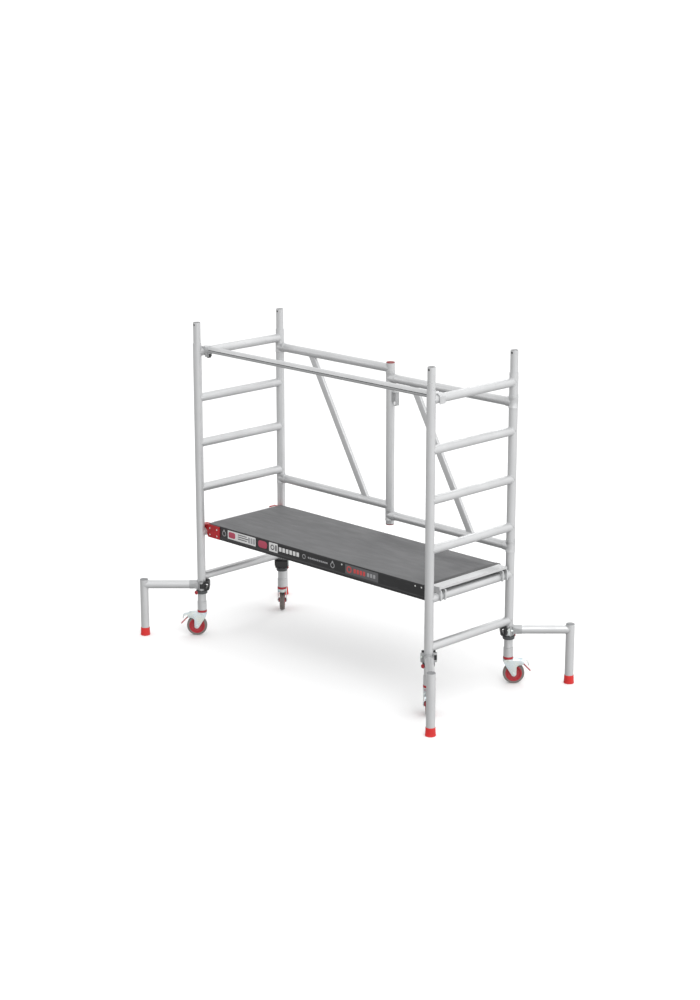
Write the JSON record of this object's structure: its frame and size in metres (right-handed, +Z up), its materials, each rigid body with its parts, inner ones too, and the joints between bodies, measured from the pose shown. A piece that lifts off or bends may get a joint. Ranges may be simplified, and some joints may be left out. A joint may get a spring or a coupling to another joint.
{
  "type": "mobile tower scaffold",
  "caption": "Aluminium mobile tower scaffold with folding rear gates, hook-on deck, guard rail, adjustable braked casters and swing-out stabilisers.",
  "frame": {"origin": "on the floor, at the middle of the tower's footprint", "axes": "+Z up, +X along the deck, +Y towards the folding rear gates"},
  "size_m": [2.472, 1.24, 1.962],
  "materials": {
    "frame_tube": "satin",
    "spigot_tube": "satin",
    "gate_tube": "satin",
    "red_cap": "satin",
    "grey_casting": "cast",
    "lock_grey": "satin",
    "red_plastic": "satin",
    "leg_tube": "satin",
    "zinc": "zinc plated",
    "wheel_red": "satin",
    "tyre_grey": "matt",
    "foot_red": "matt",
    "latch_black": "satin",
    "deck_board": "coated plywood",
    "rail_black": "powder coated",
    "bar_metal": "mill",
    "profile_metal": "satin",
    "claw_red": "powder coated",
    "trigger_dark": "satin",
    "rivet_metal": "bright"
  },
  "bodies": {
    "tower": {"end_frame_left": "frame_tube", "end_frame_right": "frame_tube", "spigots": "spigot_tube", "gate_left": "gate_tube", "gate_right": "gate_tube", "mid_post": "gate_tube", "mid_post_caps": "red_cap", "lock_bracket": "gate_tube", "leg_lock_bands": "lock_grey"},
    "front_left_leg": {"front_left_leg_collar": "leg_tube", "front_left_leg_inner_tube": "leg_tube"},
    "front_left_lock": {"front_left_leg_lock_knob": "red_plastic"},
    "front_left_caster": {"front_left_caster_fork": "zinc"},
    "front_left_wheel": {"front_left_caster_wheel": "wheel_red", "front_left_caster_tyre": "tyre_grey"},
    "front_left_brake": {"front_left_brake_pedal": "zinc"},
    "front_left_stabiliser": {"front_left_stabiliser": "grey_casting", "front_left_stabiliser_foot": "foot_red"},
    "front_left_latch": {"front_left_clamp_latch": "latch_black"},
    "rear_left_leg": {"rear_left_leg_collar": "leg_tube", "rear_left_leg_inner_tube": "leg_tube"},
    "rear_left_lock": {"rear_left_leg_lock_knob": "red_plastic"},
    "rear_left_caster": {"rear_left_caster_fork": "zinc"},
    "rear_left_wheel": {"rear_left_caster_wheel": "wheel_red", "rear_left_caster_tyre": "tyre_grey"},
    "rear_left_brake": {"rear_left_brake_pedal": "zinc"},
    "rear_left_stabiliser": {"rear_left_stabiliser": "grey_casting", "rear_left_stabiliser_foot": "foot_red"},
    "rear_left_latch": {"rear_left_clamp_latch": "latch_black"},
    "front_right_leg": {"front_right_leg_collar": "leg_tube", "front_right_leg_inner_tube": "leg_tube"},
    "front_right_lock": {"front_right_leg_lock_knob": "red_plastic"},
    "front_right_caster": {"front_right_caster_fork": "zinc"},
    "front_right_wheel": {"front_right_caster_wheel": "wheel_red", "front_right_caster_tyre": "tyre_grey"},
    "front_right_brake": {"front_right_brake_pedal": "zinc"},
    "front_right_stabiliser": {"front_right_stabiliser": "grey_casting", "front_right_stabiliser_foot": "foot_red"},
    "front_right_latch": {"front_right_clamp_latch": "latch_black"},
    "rear_right_leg": {"rear_right_leg_collar": "leg_tube", "rear_right_leg_inner_tube": "leg_tube"},
    "rear_right_lock": {"rear_right_leg_lock_knob": "red_plastic"},
    "rear_right_caster": {"rear_right_caster_fork": "zinc"},
    "rear_right_wheel": {"rear_right_caster_wheel": "wheel_red", "rear_right_caster_tyre": "tyre_grey"},
    "rear_right_brake": {"rear_right_brake_pedal": "zinc"},
    "rear_right_stabiliser": {"rear_right_stabiliser": "grey_casting", "rear_right_stabiliser_foot": "foot_red"},
    "rear_right_latch": {"rear_right_clamp_latch": "latch_black"},
    "platform": {"deck_panel": "deck_board", "deck_crossbars": "bar_metal", "end_profile_right": "profile_metal", "end_profile_left": "profile_metal", "rail_rivets": "rivet_metal", "side_rail_front": "rail_black", "side_rail_rear": "rail_black", "left_hook_front": "claw_red", "left_hook_rear": "claw_red", "right_hook_front": "profile_metal", "right_hook_rear": "profile_metal"},
    "guard": {"guard_tube": "gate_tube", "guard_claws": "grey_casting"},
    "guard_trigger_left": {"guard_trigger_left": "trigger_dark"},
    "guard_trigger_right": {"guard_trigger_right": "trigger_dark"}
  },
  "joints": [
    {"name": "front_left_leg_slide", "type": "slide", "parent": "tower", "child": "front_left_leg", "axis": [0, 0, -1], "range_m": [0, 0.2]},
    {"name": "front_left_lock_pull", "type": "slide", "parent": "tower", "child": "front_left_lock", "axis": [0, -1, 0], "range_m": [0, 0.01], "stiffness_N_per_m": 400},
    {"name": "front_left_caster_swivel", "type": "hinge", "parent": "front_left_leg", "child": "front_left_caster", "pos_m": [-0.955, -0.339, 0.15], "axis": [0, 0, 1], "continuous": true},
    {"name": "front_left_wheel_spin", "type": "hinge", "parent": "front_left_caster", "child": "front_left_wheel", "pos_m": [-0.97833, -0.36234, 0.0625], "axis": [0.7071, -0.7071, 0], "continuous": true},
    {"name": "front_left_brake_press", "type": "hinge", "parent": "front_left_caster", "child": "front_left_brake", "pos_m": [-1.00803, -0.39203, 0.1305], "axis": [0.7071, -0.7071, 0], "range_deg": [0, 10], "stiffness_Nm_per_rad": 1.5},
    {"name": "front_left_stabiliser_swing", "type": "hinge", "parent": "tower", "child": "front_left_stabiliser", "pos_m": [-0.955, -0.339, 0.326], "axis": [0, 0, 1], "range_deg": [-90, 90]},
    {"name": "front_left_latch_open", "type": "hinge", "parent": "front_left_stabiliser", "child": "front_left_latch", "pos_m": [-0.92884, -0.36516, 0.324], "axis": [0, 0, -1], "range_deg": [0, 100]},
    {"name": "rear_left_leg_slide", "type": "slide", "parent": "tower", "child": "rear_left_leg", "axis": [0, 0, -1], "range_m": [0, 0.2]},
    {"name": "rear_left_lock_pull", "type": "slide", "parent": "tower", "child": "rear_left_lock", "axis": [0, 1, 0], "range_m": [0, 0.01], "stiffness_N_per_m": 400},
    {"name": "rear_left_caster_swivel", "type": "hinge", "parent": "rear_left_leg", "child": "rear_left_caster", "pos_m": [-0.955, 0.339, 0.15], "axis": [0, 0, 1], "continuous": true},
    {"name": "rear_left_wheel_spin", "type": "hinge", "parent": "rear_left_caster", "child": "rear_left_wheel", "pos_m": [-0.97833, 0.36234, 0.0625], "axis": [-0.7071, -0.7071, 0], "continuous": true},
    {"name": "rear_left_brake_press", "type": "hinge", "parent": "rear_left_caster", "child": "rear_left_brake", "pos_m": [-1.00803, 0.39203, 0.1305], "axis": [-0.7071, -0.7071, 0], "range_deg": [0, 10], "stiffness_Nm_per_rad": 1.5},
    {"name": "rear_left_stabiliser_swing", "type": "hinge", "parent": "tower", "child": "rear_left_stabiliser", "pos_m": [-0.955, 0.339, 0.326], "axis": [0, 0, 1], "range_deg": [-90, 90]},
    {"name": "rear_left_latch_open", "type": "hinge", "parent": "rear_left_stabiliser", "child": "rear_left_latch", "pos_m": [-0.98116, 0.31284, 0.324], "axis": [0, 0, -1], "range_deg": [0, 100]},
    {"name": "front_right_leg_slide", "type": "slide", "parent": "tower", "child": "front_right_leg", "axis": [0, 0, -1], "range_m": [0, 0.2]},
    {"name": "front_right_lock_pull", "type": "slide", "parent": "tower", "child": "front_right_lock", "axis": [0, -1, 0], "range_m": [0, 0.01], "stiffness_N_per_m": 400},
    {"name": "front_right_caster_swivel", "type": "hinge", "parent": "front_right_leg", "child": "front_right_caster", "pos_m": [0.955, -0.339, 0.15], "axis": [0, 0, 1], "continuous": true},
    {"name": "front_right_wheel_spin", "type": "hinge", "parent": "front_right_caster", "child": "front_right_wheel", "pos_m": [0.97833, -0.36234, 0.0625], "axis": [0.7071, 0.7071, 0], "continuous": true},
    {"name": "front_right_brake_press", "type": "hinge", "parent": "front_right_caster", "child": "front_right_brake", "pos_m": [1.00803, -0.39203, 0.1305], "axis": [0.7071, 0.7071, 0], "range_deg": [0, 10], "stiffness_Nm_per_rad": 1.5},
    {"name": "front_right_stabiliser_swing", "type": "hinge", "parent": "tower", "child": "front_right_stabiliser", "pos_m": [0.955, -0.339, 0.326], "axis": [0, 0, 1], "range_deg": [-90, 90]},
    {"name": "front_right_latch_open", "type": "hinge", "parent": "front_right_stabiliser", "child": "front_right_latch", "pos_m": [0.98116, -0.31284, 0.324], "axis": [0, 0, -1], "range_deg": [0, 100]},
    {"name": "rear_right_leg_slide", "type": "slide", "parent": "tower", "child": "rear_right_leg", "axis": [0, 0, -1], "range_m": [0, 0.2]},
    {"name": "rear_right_lock_pull", "type": "slide", "parent": "tower", "child": "rear_right_lock", "axis": [0, 1, 0], "range_m": [0, 0.01], "stiffness_N_per_m": 400},
    {"name": "rear_right_caster_swivel", "type": "hinge", "parent": "rear_right_leg", "child": "rear_right_caster", "pos_m": [0.955, 0.339, 0.15], "axis": [0, 0, 1], "continuous": true},
    {"name": "rear_right_wheel_spin", "type": "hinge", "parent": "rear_right_caster", "child": "rear_right_wheel", "pos_m": [0.97833, 0.36234, 0.0625], "axis": [-0.7071, 0.7071, 0], "continuous": true},
    {"name": "rear_right_brake_press", "type": "hinge", "parent": "rear_right_caster", "child": "rear_right_brake", "pos_m": [1.00803, 0.39203, 0.1305], "axis": [-0.7071, 0.7071, 0], "range_deg": [0, 10], "stiffness_Nm_per_rad": 1.5},
    {"name": "rear_right_stabiliser_swing", "type": "hinge", "parent": "tower", "child": "rear_right_stabiliser", "pos_m": [0.955, 0.339, 0.326], "axis": [0, 0, 1], "range_deg": [-90, 90]},
    {"name": "rear_right_latch_open", "type": "hinge", "parent": "rear_right_stabiliser", "child": "rear_right_latch", "pos_m": [0.92884, 0.36516, 0.324], "axis": [0, 0, -1], "range_deg": [0, 100]},
    {"name": "platform_lift", "type": "slide", "parent": "tower", "child": "platform", "axis": [0, 0, 1], "range_m": [0, 0.13]},
    {"name": "guard_lift", "type": "slide", "parent": "tower", "child": "guard", "axis": [0, 0, 1], "range_m": [0, 0.2]},
    {"name": "guard_trigger_left_turn", "type": "hinge", "parent": "guard", "child": "guard_trigger_left", "pos_m": [-0.915, -0.279, 1.761], "axis": [0, 1, 0], "range_deg": [0, 20], "stiffness_Nm_per_rad": 0.5},
    {"name": "guard_trigger_right_turn", "type": "hinge", "parent": "guard", "child": "guard_trigger_right", "pos_m": [0.915, -0.279, 1.761], "axis": [0, -1, 0], "range_deg": [0, 20], "stiffness_Nm_per_rad": 0.5}
  ]
}
